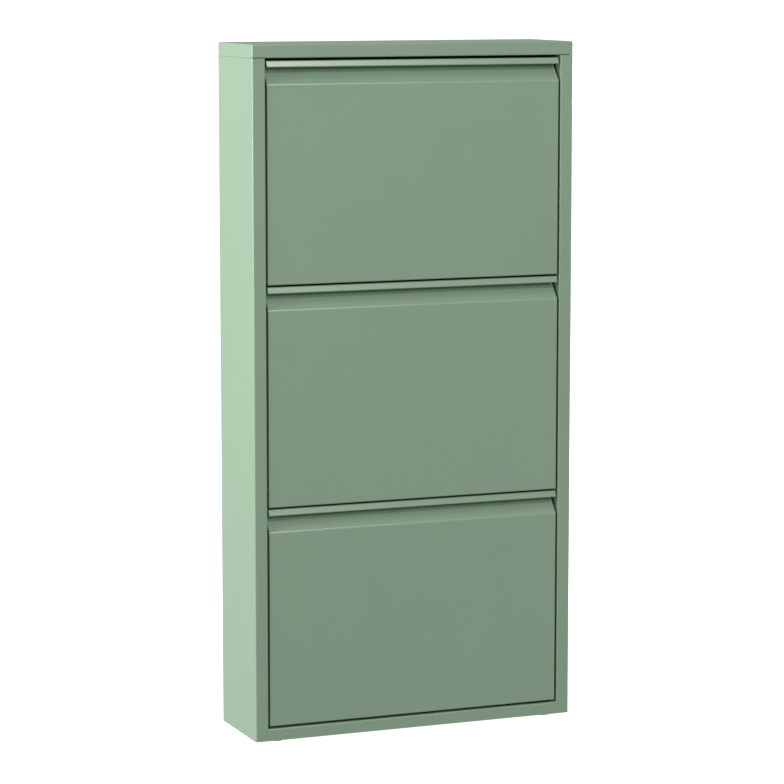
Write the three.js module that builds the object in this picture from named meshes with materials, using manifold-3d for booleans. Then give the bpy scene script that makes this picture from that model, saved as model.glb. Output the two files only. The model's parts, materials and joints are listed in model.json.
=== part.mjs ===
// A slim steel shoe cabinet with three tip-out flaps, one above the other.
//
// The carcass is folded sheet: two side panels whose front edges fold round into the stiles of the
// face frame, a cap that sits on them like a box lid, a bottom panel between them and a back panel
// screwed on from inside. Each flap is a folded front with a finger groove along its top, two cheeks,
// a toe tray and a retaining rod. It turns on two pivot pins near its lower edge, in nylon bushes in
// the stiles' returns. A curved slot in each cheek runs over a sleeved stud on the side panel, which
// stops the flap when it is open.
//
// Millimetres, +Z up. The origin is on the floor, under the middle of the cabinet; the front faces -Y.

import * as THREE from "three";
import { mergeVertices } from "three/addons/utils/BufferGeometryUtils.js";
import Module from "manifold-3d";

const wasm = await Module();
wasm.setup();

// ---------------------------------------------------------------------------------------------
// Driving dimensions
// ---------------------------------------------------------------------------------------------

const WIDTH = 510;
const DEPTH = 150;
const HEIGHT = 1030;

const SHEET = 0.8; // thickness of the folded sheet
const BEND = 2; // outside radius of a bend
const BEND_STEPS = 3; // facets in a right-angled bend
const GAP = 0.3; // between pieces that touch
const ROUND = 16; // sides of a pin, bush or stud
const SMALL_ROUND = 10; // sides of a small screw or rod
const CURVE_STEPS = 6; // facets in each stretch of a curved outline

const STILE = 20; // width of the face frame all round
const STILE_RETURN = 20; // depth of the fold that the pivots pass through
const REAR_FLANGE = 15;
const CAP_HEIGHT = 20;
const CAP_RETURN = 15;
const SEAM = 0.4; // gap between the cap and the side panels
const SHEET_RISE = 2; // height of the lowest sheet edge above the floor
const UPSTAND = 18; // rear fold of the bottom panel
const PANEL_PLAY = 1; // left all round between the back panel and the shell
const TAB_HALF_LENGTH = 55; // the tab on a side panel that stands inside the cap
const TAB_DROP = 24; // how far down the side panel that tab is welded
const TAB_STEP = 3; // the joggle that brings it inside the cap's skirt
const REACH = 5; // how far a cutter passes through what it cuts

const LEVELS = ["lower", "middle", "upper"];
const FLAP_WIDTH = 464;
const FLAP_HEIGHT = 325.5;
const FLAP_PITCH = 328.5;
const FLAP_FOOT = 23.5; // height of the lowest flap's lower edge
const FLAP_RECESS = 1; // how far the flaps lie behind the face frame
const FLAP_RETURN = 14; // depth of the folds at a flap's sides and lower edge
const FLAP_EDGE = 1.5; // radius of the edges between a flap's face and its side folds

const GROOVE_HEIGHT = 34; // from the flap's top down to the bend where its face starts to slope back
const GROOVE_DEPTH = 27; // how far the slope reaches back
const LIP_HEIGHT = 9.5;
const LIP_LEAN = 2.4; // the lip's top lies this far behind its lower edge
const HEM_RADIUS = 1.3;
const HEM_GAP = 1.6; // between the two layers of the hemmed lip
const HEM_RISE = 5;

const PIVOT = new THREE.Vector2(-DEPTH / 2 + 9, 26); // y, and height above the flap's lower edge
const OPEN_ANGLE = THREE.MathUtils.degToRad(40);

const CHEEK = 1; // thickness of the cheeks
const CHEEK_REAR = 58; // y of the cheeks' rear edge
const CHEEK_TOP = 275;
const CHEEK_SHOULDER = 110; // where the rear edge starts to lean forward
const CHEEK_TIP = -46; // y of the rear end of the cheeks' top edge
const TRAY_FLOOR = 5;
const TRAY_REAR = 54;
const TRAY_WALL = 108;
const TRAY_LIP = 14; // height of the tray's front fold
const TRAY_FOLD = 7; // depth of the fold along the top of the tray's wall
const TRAY_TAB = 11; // folds at the tray's ends, against the cheeks
const ROD = new THREE.Vector2(12, 188); // y and height of the retaining rod
const ROD_RADIUS = 2.5;
const ROD_COLLAR = 4.2; // radius of the collar inside each cheek
const ROD_HEAD = 3.7; // radius of the peened head outside it

const PIN_RADIUS = 3;
const PIN_HOLE = 3.3;
const PIN_HEAD = 5.5; // radius of the head inside the cheek
const PIN_TIP = 4.2; // radius of the peened end, past the bush
const BUSH_BORE = 3.12;
const BUSH_RADIUS = 4.5;
const BUSH_HOLE = 4.8;
const BUSH_FLANGE = 6.9;
const BUSH_FLANGE_DEPTH = 1.6;
const BUSH_TAIL = 2.5; // how far a bush reaches past the stile's face

const STOP_RADIUS = 90; // from the pivot to the stop stud
const STOP_ANGLE = THREE.MathUtils.degToRad(50); // above the horizontal, behind the pivot
const STUD_RADIUS = 3;
const STUD_HEAD = 4.2;
const STUD_BASE = 7.5; // radius of the plate that is welded to the side panel
const SLEEVE_RADIUS = 5;
const SLEEVE_BORE = 3.2;
const SLEEVE_CHAMFER = 0.5;
const SLOT_HALF_WIDTH = 5.6;

const FOOT_X = 218;
const FOOT_Y = 58;
const FOOT_RADIUS = 13.5;
const FOOT_PLUG = 3.8; // radius of the plug that passes the bottom panel
const FOOT_BARB = 5; // radius of the barb above it
const FOOT_HOLE = 4.1;
const FOOT_PLAY = 0.4; // between a foot and the sheet it is snapped into

const SCREW_HOLE = 2;
const SCREW_SHANK = 1.6;
const SCREW_HEAD = 3.8;
const SCREW_HEAD_HEIGHT = 1.7;
const SCREW_INSET = 8; // of the screws at the sides, from the cabinet's side
const SCREW_SPREAD = 150; // of the screws at the top and the bottom, from the middle
const KEYHOLE_X = 190;
const KEYHOLE_Z = 985;
const KEYHOLE_RADIUS = 5;
const KEYHOLE_SLOT = 2.6; // half the width of the keyhole's slot
const KEYHOLE_RISE = 12;

// Planes and faces that several pieces share
const FRONT = -DEPTH / 2;
const REAR = DEPTH / 2;
const SIDE = WIDTH / 2;
const OPENING = SIDE - STILE; // half the width of the opening in the face frame
const CAP_FOOT = HEIGHT - CAP_HEIGHT;
const SIDE_TOP = CAP_FOOT - SEAM;
const FLAP_FACE = FRONT + FLAP_RECESS;
const FLAP_SIDE = FLAP_WIDTH / 2;
const CHEEK_OUT = FLAP_SIDE - SHEET - GAP; // outer face of a cheek
const CHEEK_IN = CHEEK_OUT - CHEEK;
const TRAY_END = CHEEK_IN - GAP;
const BACK_INNER = REAR - SHEET - GAP - SHEET;
const BACK_OUTER = BACK_INNER + SHEET;
const BOTTOM_TOP = STILE; // upper face of the bottom panel

const SCREWS = [
  [-SCREW_SPREAD, BOTTOM_TOP + UPSTAND / 2],
  [SCREW_SPREAD, BOTTOM_TOP + UPSTAND / 2],
  [SCREW_INSET - SIDE, 260],
  [SIDE - SCREW_INSET, 260],
  [SCREW_INSET - SIDE, 770],
  [SIDE - SCREW_INSET, 770],
  [-SCREW_SPREAD, HEIGHT - CAP_HEIGHT / 2],
  [SCREW_SPREAD, HEIGHT - CAP_HEIGHT / 2],
];

// ---------------------------------------------------------------------------------------------
// Outlines, prisms, turned pieces and booleans
// ---------------------------------------------------------------------------------------------

const X = new THREE.Vector3(1, 0, 0);
const Y = new THREE.Vector3(0, 1, 0);
const Z = new THREE.Vector3(0, 0, 1);
const PLANES = {
  xy: new THREE.Matrix4(), // extruded along z
  yz: new THREE.Matrix4().makeBasis(Y, Z, X), // extruded along x
  zx: new THREE.Matrix4().makeBasis(Z, X, Y), // extruded along y
};

const point = (u, v) => new THREE.Vector2(u, v);
const roundHole = (u, v, radius) => new THREE.Path().absarc(u, v, radius, 0, 2 * Math.PI);

function prism(shape, plane, from, to) {
  const options = { depth: to - from, bevelEnabled: false, curveSegments: CURVE_STEPS };
  const geometry = new THREE.ExtrudeGeometry(shape, options);
  return geometry.translate(0, 0, from).applyMatrix4(PLANES[plane]);
}

function box(low, high) {
  const size = new THREE.Vector3().subVectors(high, low);
  const middle = new THREE.Vector3().addVectors(low, high).multiplyScalar(0.5);
  return new THREE.BoxGeometry(size.x, size.y, size.z).translate(middle.x, middle.y, middle.z);
}

const boxAt = (x0, x1, y0, y1, z0, z1) =>
  box(new THREE.Vector3(x0, y0, z0), new THREE.Vector3(x1, y1, z1));

// Points of the arc that rounds the corner between the directions a and b at a given radius.
function arcPoints(corner, a, b, radius, otherRadius = radius) {
  const side = Math.sign(a.cross(b));
  const turn = Math.acos(THREE.MathUtils.clamp(a.dot(b), -1, 1));
  const inward = point(-a.y, a.x).multiplyScalar(side);
  const centre = corner.clone().addScaledVector(a, -radius * Math.tan(turn / 2));
  centre.addScaledVector(inward, radius);
  const steps = Math.max(2, Math.ceil((turn / (Math.PI / 2)) * BEND_STEPS));
  const points = [];
  for (let k = 0; k <= steps; k++) {
    const outward = inward.clone().negate();
    outward.rotateAround(point(0, 0), (side * turn * k) / steps);
    points.push(centre.clone().addScaledVector(outward, otherRadius));
  }
  return points;
}

// A closed outline from corners [u, v, radius], each rounded by its radius.
function roundedShape(corners) {
  const at = corners.map(([u, v]) => point(u, v));
  const outline = corners.flatMap(([, , radius], i) => {
    const before = at[(i + at.length - 1) % at.length];
    const after = at[(i + 1) % at.length];
    const a = at[i].clone().sub(before).normalize();
    const b = after.clone().sub(at[i]).normalize();
    return radius ? arcPoints(at[i], a, b, radius) : [at[i]];
  });
  return new THREE.Shape(outline);
}

// The outline of a folded sheet. The path [u, v, outside radius] follows one face of the sheet,
// which lies to the right of the direction of travel.
function foldedSheet(path) {
  const at = path.map(([u, v]) => point(u, v));
  const near = [];
  const far = [];
  at.forEach((corner, i) => {
    const a = corner.clone().sub(at[Math.max(i - 1, 0)]).normalize();
    const b = at[Math.min(i + 1, at.length - 1)].clone().sub(corner).normalize();
    if (i === 0 || i === at.length - 1) {
      const along = i === 0 ? b : a;
      near.push(corner);
      far.push(corner.clone().add(point(along.y, -along.x).multiplyScalar(SHEET)));
      return;
    }
    const outside = path[i][2] ?? BEND;
    const nearRadius = a.cross(b) < 0 ? outside : outside - SHEET;
    const farRadius = a.cross(b) < 0 ? outside - SHEET : outside;
    near.push(...arcPoints(corner, a, b, nearRadius));
    far.push(...arcPoints(corner, a, b, nearRadius, farRadius));
  });
  return new THREE.Shape([...near, ...far.reverse()]);
}

// A turned piece along +X, from pairs of position along the axis and radius. A profile that leaves
// the axis out is a ring, and closes on itself.
function turned(profile, sides = ROUND) {
  const points = profile.map(([along, radius]) => point(radius, along));
  if (points[0].x > 0) points.push(points[0].clone());
  return new THREE.LatheGeometry(points, sides).rotateZ(-Math.PI / 2);
}

function solidOf(geometry) {
  const bare = geometry.clone();
  bare.deleteAttribute("normal");
  bare.deleteAttribute("uv");
  const merged = mergeVertices(bare, 1e-4);
  const triVerts = new Uint32Array(merged.index.array);
  const vertProperties = merged.attributes.position.array;
  return new wasm.Manifold(new wasm.Mesh({ numProp: 3, vertProperties, triVerts }));
}

function geometryOf(solid) {
  const { vertProperties, triVerts } = solid.getMesh();
  const geometry = new THREE.BufferGeometry();
  geometry.setAttribute("position", new THREE.BufferAttribute(vertProperties, 3));
  geometry.setIndex(new THREE.BufferAttribute(triVerts, 1));
  geometry.computeVertexNormals();
  return geometry;
}

const combine = (how, first, rest) =>
  geometryOf(rest.map(solidOf).reduce((made, next) => made[how](next), solidOf(first)));
const join = (first, ...rest) => combine("add", first, rest);
const cut = (first, ...rest) => combine("subtract", first, rest);
const common = (first, ...rest) => combine("intersect", first, rest);

// A cutter for a round hole along x, along y or along z, that is centred on the point it is moved to.
const drill = (radius) => turned([[-REACH, 0], [-REACH, radius], [REACH, radius], [REACH, 0]]);
const holeAlongX = (x, y, z, radius) => drill(radius).translate(x, y, z);
const holeAlongY = (x, y, z, radius) =>
  drill(radius)
    .rotateZ(Math.PI / 2)
    .translate(x, y, z);
const holeAlongZ = (x, y, z, radius) =>
  drill(radius)
    .rotateY(Math.PI / 2)
    .translate(x, y, z);

// ---------------------------------------------------------------------------------------------
// Materials
// ---------------------------------------------------------------------------------------------

const paint = new THREE.MeshStandardMaterial({ color: 0x8fae96, roughness: 0.38, metalness: 0 });
const zinc = new THREE.MeshStandardMaterial({ color: 0xb9bcc0, roughness: 0.35, metalness: 1 });
const nylon = new THREE.MeshStandardMaterial({ color: 0x232425, roughness: 0.5, metalness: 0 });
const rubber = new THREE.MeshStandardMaterial({ color: 0x1d1e20, roughness: 0.85, metalness: 0 });
const footPlastic = new THREE.MeshStandardMaterial({ color: 0x2a2c2d, roughness: 0.6, metalness: 0 });

function piece(name, geometry, material, position = [0, 0, 0], mirrored = false) {
  const mesh = new THREE.Mesh(geometry, material);
  mesh.name = name;
  mesh.position.set(...position);
  if (mirrored) mesh.scale.x = -1;
  return mesh;
}

// ---------------------------------------------------------------------------------------------
// Carcass
// ---------------------------------------------------------------------------------------------

const flapFoot = (level) => FLAP_FOOT + level * FLAP_PITCH;

// Holes in the rear flanges for those screws of the back panel that a test picks out.
const screwHolesWhere = (test) =>
  SCREWS.filter(([x, z]) => test(x, z)).map(([x, z]) => holeAlongY(x, REAR, z, SCREW_HOLE));

// The tab on a side panel that stands inside the cap and holds it in line.
function capTab() {
  const wall = SIDE - SHEET;
  const face = wall - GAP;
  const outline = new THREE.Shape([
    point(SIDE_TOP - TAB_DROP, wall + SHEET / 2),
    point(SIDE_TOP - TAB_STEP - 1, wall + SHEET / 2),
    point(SIDE_TOP - TAB_STEP, face),
    point(HEIGHT - TAB_STEP, face),
    point(HEIGHT - TAB_STEP, face - SHEET),
    point(SIDE_TOP - TAB_DROP, face - SHEET),
  ]);
  return prism(outline, "zx", -TAB_HALF_LENGTH, TAB_HALF_LENGTH);
}

// The right side panel. The left one is its mirror image.
function sidePanel() {
  const outline = foldedSheet([
    [SIDE - REAR_FLANGE, REAR],
    [SIDE, REAR],
    [SIDE, FRONT],
    [OPENING, FRONT],
    [OPENING, FRONT + STILE_RETURN],
  ]);
  const bushHoles = LEVELS.map((_, level) =>
    holeAlongX(OPENING, PIVOT.x, flapFoot(level) + PIVOT.y, BUSH_HOLE),
  );
  const screwHoles = screwHolesWhere((x) => x > SIDE - REAR_FLANGE);
  const panel = join(prism(outline, "xy", SHEET_RISE, SIDE_TOP), capTab());
  return cut(panel, ...bushHoles, ...screwHoles);
}

// A lid with rounded upright edges and a rounded top. Its outline along y and z is the profile.
function roundedLid(side, depth, top, radius, profile) {
  const plan = roundedShape([
    [-side, -depth, radius],
    [side, -depth, radius],
    [side, depth, radius],
    [-side, depth, radius],
  ]);
  const below = CAP_FOOT - REACH;
  const elevation = roundedShape([
    [below, -side, 0],
    [top, -side, radius],
    [top, side, radius],
    [below, side, 0],
  ]);
  return common(
    prism(profile, "yz", -side, side),
    prism(plan, "xy", below, HEIGHT + REACH),
    prism(elevation, "zx", -depth, depth),
  );
}

function topCap() {
  const outer = roundedShape([
    [FRONT, CAP_FOOT, BEND],
    [FRONT, HEIGHT, BEND],
    [REAR, HEIGHT, BEND],
    [REAR, CAP_FOOT, 0],
  ]);
  const inside = BEND - SHEET;
  const inner = roundedShape([
    [FRONT + SHEET, CAP_FOOT + SHEET, inside],
    [FRONT + SHEET, HEIGHT - SHEET, inside],
    [REAR - SHEET, HEIGHT - SHEET, inside],
    [REAR - SHEET, CAP_FOOT - SHEET, 0],
    [FRONT + CAP_RETURN, CAP_FOOT - SHEET, 0],
    [FRONT + CAP_RETURN, CAP_FOOT + SHEET, 0],
  ]);
  const skin = cut(
    roundedLid(SIDE, REAR, HEIGHT, BEND, outer),
    roundedLid(SIDE - SHEET, REAR - SHEET, HEIGHT - SHEET, inside, inner),
  );
  return cut(skin, ...screwHolesWhere((x, z) => z > CAP_FOOT));
}

function bottomPanel() {
  const outline = foldedSheet([
    [FRONT, SHEET_RISE],
    [FRONT, BOTTOM_TOP],
    [REAR - SHEET, BOTTOM_TOP],
    [REAR - SHEET, BOTTOM_TOP + UPSTAND],
  ]);
  const reach = SIDE - SHEET - SEAM; // up to the side panels' inner faces
  const behindStile = FRONT + STILE_RETURN + GAP;
  const flange = (x) =>
    boxAt(x, x + SHEET, behindStile, BACK_OUTER - GAP, SHEET_RISE, BOTTOM_TOP - SHEET / 2);
  const plate = join(
    prism(outline, "yz", -reach, reach),
    flange(-reach),
    flange(reach - SHEET),
  );
  const notches = [-1, 1].flatMap((side) => {
    const xs = (inner) => (side > 0 ? [inner, SIDE + REACH] : [-SIDE - REACH, -inner]);
    const over = BOTTOM_TOP + UPSTAND + REACH;
    return [
      boxAt(...xs(OPENING - SEAM), FRONT - REACH, behindStile, 0, BOTTOM_TOP + REACH),
      boxAt(...xs(SIDE - REAR_FLANGE - SEAM), BACK_OUTER, REAR + REACH, 0, over),
    ];
  });
  const footHoles = FEET.map(({ x, y }) => holeAlongZ(x, y, BOTTOM_TOP, FOOT_HOLE));
  const screwHoles = screwHolesWhere((x, z) => z < BOTTOM_TOP + UPSTAND);
  return cut(plate, ...notches, ...footHoles, ...screwHoles);
}

function backPanel() {
  const side = SIDE - SHEET - PANEL_PLAY;
  const low = BOTTOM_TOP + BEND;
  const high = HEIGHT - SHEET - PANEL_PLAY;
  const outline = new THREE.Shape([
    point(low, -side),
    point(high, -side),
    point(high, side),
    point(low, side),
  ]);
  for (const [x, z] of SCREWS) outline.holes.push(roundHole(z, x, SCREW_HOLE));
  for (const x of [-KEYHOLE_X, KEYHOLE_X]) outline.holes.push(keyhole(x));
  return prism(outline, "zx", BACK_INNER, BACK_OUTER);
}

// A round hole that the wall screw's head passes, with a slot above it for the shank.
function keyhole(x) {
  const spread = Math.asin(KEYHOLE_SLOT / KEYHOLE_RADIUS);
  const path = new THREE.Path();
  path.absarc(KEYHOLE_Z, x, KEYHOLE_RADIUS, spread, 2 * Math.PI - spread);
  path.absarc(KEYHOLE_Z + KEYHOLE_RISE, x, KEYHOLE_SLOT, -Math.PI / 2, Math.PI / 2);
  path.closePath();
  return path;
}

const FEET = [-1, 1].flatMap((sideY) =>
  [-1, 1].map((sideX) => ({
    name: `foot_${sideY < 0 ? "front" : "rear"}_${sideX < 0 ? "left" : "right"}`,
    x: sideX * FOOT_X,
    y: sideY * FOOT_Y,
  })),
);

// A plastic foot that snaps into the bottom panel from below.
function foot() {
  const under = BOTTOM_TOP - SHEET - FOOT_PLAY;
  const over = BOTTOM_TOP + FOOT_PLAY;
  return turned([
    [0, 0],
    [0, FOOT_RADIUS - 1],
    [1, FOOT_RADIUS],
    [under - 3, FOOT_RADIUS],
    [under, FOOT_RADIUS - 2.5],
    [under, FOOT_PLUG],
    [over, FOOT_PLUG],
    [over, FOOT_BARB],
    [over + 1, FOOT_HOLE],
    [over + 1.2, 0],
  ]).rotateY(-Math.PI / 2);
}

// A pan head screw from inside the cabinet, through the back panel into a flange.
function backScrew() {
  const seat = BACK_INNER - GAP;
  const top = seat - SCREW_HEAD_HEIGHT;
  const tip = REAR - 0.2;
  const profile = [
    [top, 0],
    [top, SCREW_HEAD - 1.2],
    [top + 0.6, SCREW_HEAD - 0.3],
    [seat, SCREW_HEAD],
    [seat, SCREW_SHANK],
    [tip, SCREW_SHANK],
    [tip, 0],
  ];
  return turned(profile, SMALL_ROUND).rotateZ(Math.PI / 2);
}

function carcass() {
  const group = new THREE.Group();
  group.add(
    piece("left_side_panel", sidePanel(), paint, [0, 0, 0], true),
    piece("right_side_panel", sidePanel(), paint),
    piece("top_cap", topCap(), paint),
    piece("bottom_panel", bottomPanel(), paint),
    piece("back_panel", backPanel(), paint),
  );
  for (const { name, x, y } of FEET) group.add(piece(name, foot(), footPlastic, [x, y, 0]));
  SCREWS.forEach(([x, z], i) => group.add(piece(`back_screw_${i + 1}`, backScrew(), zinc, [x, 0, z])));
  return group;
}

// ---------------------------------------------------------------------------------------------
// One compartment: a flap, and the bushes and stops that carry it. Heights count from the flap's
// lower edge.
// ---------------------------------------------------------------------------------------------

const GROOVE_FOOT = FLAP_HEIGHT - GROOVE_HEIGHT;
const SLOPE_TOP = point(FLAP_FACE + GROOVE_DEPTH, FLAP_HEIGHT - SHEET);

// What has to go to round the outer edge between a flap's face and its side fold.
function edgeCutter(length) {
  const outline = new THREE.Shape();
  outline.moveTo(-FLAP_EDGE, -1);
  outline.lineTo(1, -1);
  outline.lineTo(1, FLAP_EDGE);
  outline.lineTo(0, FLAP_EDGE);
  outline.absarc(-FLAP_EDGE, FLAP_EDGE, FLAP_EDGE, 0, -Math.PI / 2, true);
  return prism(outline, "xy", 0, length);
}

// The folded front of a flap: lower return, face, slope of the finger groove, top and hemmed lip.
function flapFront() {
  const lipFoot = FLAP_HEIGHT - LIP_HEIGHT + SHEET;
  const lipInner = FLAP_FACE + SHEET;
  const skin = foldedSheet([
    [FLAP_FACE + FLAP_RETURN, 0],
    [FLAP_FACE, 0],
    [FLAP_FACE, GROOVE_FOOT],
    [SLOPE_TOP.x, SLOPE_TOP.y],
    [lipInner + LIP_LEAN, FLAP_HEIGHT - SHEET],
    [lipInner, lipFoot, HEM_RADIUS],
    [lipInner + HEM_GAP, lipFoot, HEM_RADIUS],
    [lipInner + HEM_GAP + LIP_LEAN / 2, lipFoot + HEM_RISE],
  ]);
  const returnOutline = new THREE.Shape([
    point(FLAP_FACE + SHEET / 2, SHEET / 2),
    point(FLAP_FACE + SHEET / 2, GROOVE_FOOT),
    point(SLOPE_TOP.x - 3, SLOPE_TOP.y - 5),
    point(SLOPE_TOP.x + 5, SLOPE_TOP.y - 12),
    point(FLAP_FACE + FLAP_RETURN, GROOVE_FOOT - 8),
    point(FLAP_FACE + FLAP_RETURN, SHEET / 2),
  ]);
  const slope = SLOPE_TOP.clone().sub(point(FLAP_FACE, GROOVE_FOOT));
  const tilt = Math.atan2(slope.x, slope.y);
  const cutters = [
    edgeCutter(GROOVE_FOOT + 8).translate(0, 0, -4),
    edgeCutter(slope.length() - 2).translate(0, 0, -4).rotateX(-tilt).translate(0, 0, GROOVE_FOOT),
  ].map((cutter) => cutter.translate(FLAP_SIDE, FLAP_FACE, 0));
  const mirrored = (geometry) => geometryOf(solidOf(geometry).mirror([1, 0, 0]));
  const folded = join(
    prism(skin, "yz", -FLAP_SIDE, FLAP_SIDE),
    prism(returnOutline, "yz", FLAP_SIDE - SHEET, FLAP_SIDE),
    prism(returnOutline, "yz", -FLAP_SIDE, SHEET - FLAP_SIDE),
  );
  return cut(
    folded,
    ...cutters,
    ...cutters.map(mirrored),
    holeAlongX(FLAP_SIDE, PIVOT.x, PIVOT.y, PIN_HOLE),
    holeAlongX(-FLAP_SIDE, PIVOT.x, PIVOT.y, PIN_HOLE),
  );
}

// The slot that the stop stud runs in, seen from the flap: at STOP_ANGLE when the flap is shut, and
// lower by the flap's own angle when it is open. The sleeve stops GAP short of either end.
function stopSlot() {
  const play = (SLOT_HALF_WIDTH - SLEEVE_RADIUS - GAP) / STOP_RADIUS;
  const from = STOP_ANGLE - OPEN_ANGLE + play;
  const to = STOP_ANGLE - play;
  const end = (angle) => point(Math.cos(angle), Math.sin(angle)).multiplyScalar(STOP_RADIUS).add(PIVOT);
  const path = new THREE.Path();
  path.absarc(PIVOT.x, PIVOT.y, STOP_RADIUS + SLOT_HALF_WIDTH, from, to);
  path.absarc(end(to).x, end(to).y, SLOT_HALF_WIDTH, to, to + Math.PI);
  path.absarc(PIVOT.x, PIVOT.y, STOP_RADIUS - SLOT_HALF_WIDTH, to, from, true);
  path.absarc(end(from).x, end(from).y, SLOT_HALF_WIDTH, from - Math.PI, from);
  return path;
}

// The right cheek. The left one is its mirror image.
function cheek() {
  const front = FLAP_FACE + SHEET + GAP;
  const low = SHEET + GAP;
  const outline = new THREE.Shape();
  outline.moveTo(front, low + BEND);
  outline.lineTo(front + BEND, low);
  outline.lineTo(CHEEK_REAR - 10, low);
  outline.quadraticCurveTo(CHEEK_REAR, low, CHEEK_REAR, low + 10);
  outline.lineTo(CHEEK_REAR, CHEEK_SHOULDER);
  outline.bezierCurveTo(CHEEK_REAR, 185, 5, 235, CHEEK_TIP + 14, CHEEK_TOP - 6);
  outline.quadraticCurveTo(CHEEK_TIP + 8, CHEEK_TOP, CHEEK_TIP, CHEEK_TOP);
  outline.lineTo(front, CHEEK_TOP);
  outline.closePath();
  outline.holes.push(stopSlot());
  outline.holes.push(roundHole(PIVOT.x, PIVOT.y, PIN_HOLE));
  outline.holes.push(roundHole(ROD.x, ROD.y, ROD_RADIUS + GAP));
  return prism(outline, "yz", CHEEK_IN, CHEEK_OUT);
}

function toeTray() {
  const front = FLAP_FACE + 2 * SHEET + GAP;
  const outline = foldedSheet([
    [front, TRAY_FLOOR + TRAY_LIP],
    [front, TRAY_FLOOR],
    [TRAY_REAR, TRAY_FLOOR],
    [TRAY_REAR, TRAY_WALL],
    [TRAY_REAR - TRAY_FOLD, TRAY_WALL],
  ]);
  const tab = new THREE.Shape([
    point(front, TRAY_FLOOR - SHEET / 2),
    point(TRAY_REAR + SHEET / 2, TRAY_FLOOR - SHEET / 2),
    point(TRAY_REAR + SHEET / 2, TRAY_WALL - 8),
    point(TRAY_REAR - TRAY_TAB + 3, TRAY_WALL - 12),
    point(TRAY_REAR - TRAY_TAB, TRAY_WALL - 20),
    point(TRAY_REAR - TRAY_TAB, TRAY_FLOOR + TRAY_TAB + 6),
    point(TRAY_REAR - TRAY_TAB - 6, TRAY_FLOOR + TRAY_TAB),
    point(front, TRAY_FLOOR + TRAY_TAB),
  ]);
  return join(
    prism(outline, "yz", -TRAY_END, TRAY_END),
    prism(tab, "yz", TRAY_END - SHEET, TRAY_END),
    prism(tab, "yz", -TRAY_END, SHEET - TRAY_END),
  );
}

// A spacer rod: a collar inside each cheek and a peened head outside it.
function retainingRod() {
  const inside = CHEEK_IN - GAP;
  const outside = CHEEK_OUT + GAP;
  const half = [
    [inside - 2.5, ROD_RADIUS],
    [inside - 2.5, ROD_COLLAR],
    [inside, ROD_COLLAR],
    [inside, ROD_RADIUS],
    [outside, ROD_RADIUS],
    [outside, ROD_HEAD],
    [outside + 0.8, ROD_HEAD - 0.6],
    [outside + 0.8, 0],
  ];
  const other = half.map(([x, radius]) => [-x, radius]).reverse();
  return turned([...other, ...half], SMALL_ROUND);
}

// The right pivot pin, fixed in the flap, with its head inside the cheek.
function pivotPin() {
  const head = CHEEK_IN - GAP;
  const end = OPENING + BUSH_TAIL + GAP;
  return turned([
    [head - 1.5, 0],
    [head - 1.5, PIN_HEAD - 1.1],
    [head - 0.9, PIN_HEAD - 0.2],
    [head, PIN_HEAD],
    [head, PIN_RADIUS],
    [end, PIN_RADIUS],
    [end, PIN_TIP],
    [end + 0.8, PIN_TIP - 0.2],
    [end + 1.4, 0],
  ]);
}

// The right bush, whose flange keeps the flap clear of the stile.
function bush() {
  const seat = OPENING - GAP;
  const flange = seat - BUSH_FLANGE_DEPTH;
  const tail = OPENING + BUSH_TAIL;
  const chamfer = 0.4;
  return turned([
    [flange, BUSH_BORE],
    [flange, BUSH_FLANGE - chamfer],
    [flange + chamfer, BUSH_FLANGE],
    [seat, BUSH_FLANGE],
    [seat, BUSH_RADIUS],
    [tail - chamfer, BUSH_RADIUS],
    [tail, BUSH_RADIUS - chamfer],
    [tail, BUSH_BORE],
  ]);
}

// The right stop stud, on the side panel, and the rubber sleeve on it.
const SLEEVE_IN = CHEEK_IN - 2.2;
const SLEEVE_OUT = CHEEK_OUT + 2.6;

function stopStud() {
  const wall = SIDE - SHEET - GAP;
  const head = SLEEVE_IN - GAP;
  const shoulder = SLEEVE_OUT + GAP;
  return turned([
    [head - 1.2, 0],
    [head - 1.2, STUD_HEAD - 0.8],
    [head - 0.7, STUD_HEAD],
    [head, STUD_HEAD],
    [head, STUD_RADIUS],
    [shoulder, STUD_RADIUS],
    [shoulder, STUD_HEAD],
    [wall - 1.5, STUD_HEAD],
    [wall - 1.5, STUD_BASE],
    [wall, STUD_BASE],
    [wall, 0],
  ]);
}

function stopSleeve() {
  return turned([
    [SLEEVE_IN, SLEEVE_BORE],
    [SLEEVE_IN, SLEEVE_RADIUS - SLEEVE_CHAMFER],
    [SLEEVE_IN + SLEEVE_CHAMFER, SLEEVE_RADIUS],
    [SLEEVE_OUT - SLEEVE_CHAMFER, SLEEVE_RADIUS],
    [SLEEVE_OUT, SLEEVE_RADIUS - SLEEVE_CHAMFER],
    [SLEEVE_OUT, SLEEVE_BORE],
  ]);
}

function compartment(level) {
  const group = new THREE.Group();
  const name = (part) => `${LEVELS[level]}_${part}`;
  const pivot = [0, PIVOT.x, PIVOT.y];
  const stop = [
    0,
    PIVOT.x + STOP_RADIUS * Math.cos(STOP_ANGLE),
    PIVOT.y + STOP_RADIUS * Math.sin(STOP_ANGLE),
  ];
  group.position.z = flapFoot(level);
  group.add(
    piece(name("flap_front"), flapFront(), paint),
    piece(name("toe_tray"), toeTray(), paint),
    piece(name("retaining_rod"), retainingRod(), zinc, [0, ROD.x, ROD.y]),
  );
  for (const side of ["left", "right"]) {
    const mirrored = side === "left";
    group.add(
      piece(name(`${side}_cheek`), cheek(), paint, [0, 0, 0], mirrored),
      piece(name(`${side}_pivot_pin`), pivotPin(), zinc, pivot, mirrored),
      piece(name(`${side}_bush`), bush(), nylon, pivot, mirrored),
      piece(name(`${side}_stop_stud`), stopStud(), zinc, stop, mirrored),
      piece(name(`${side}_stop_sleeve`), stopSleeve(), rubber, stop, mirrored),
    );
  }
  return group;
}

// ---------------------------------------------------------------------------------------------

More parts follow.
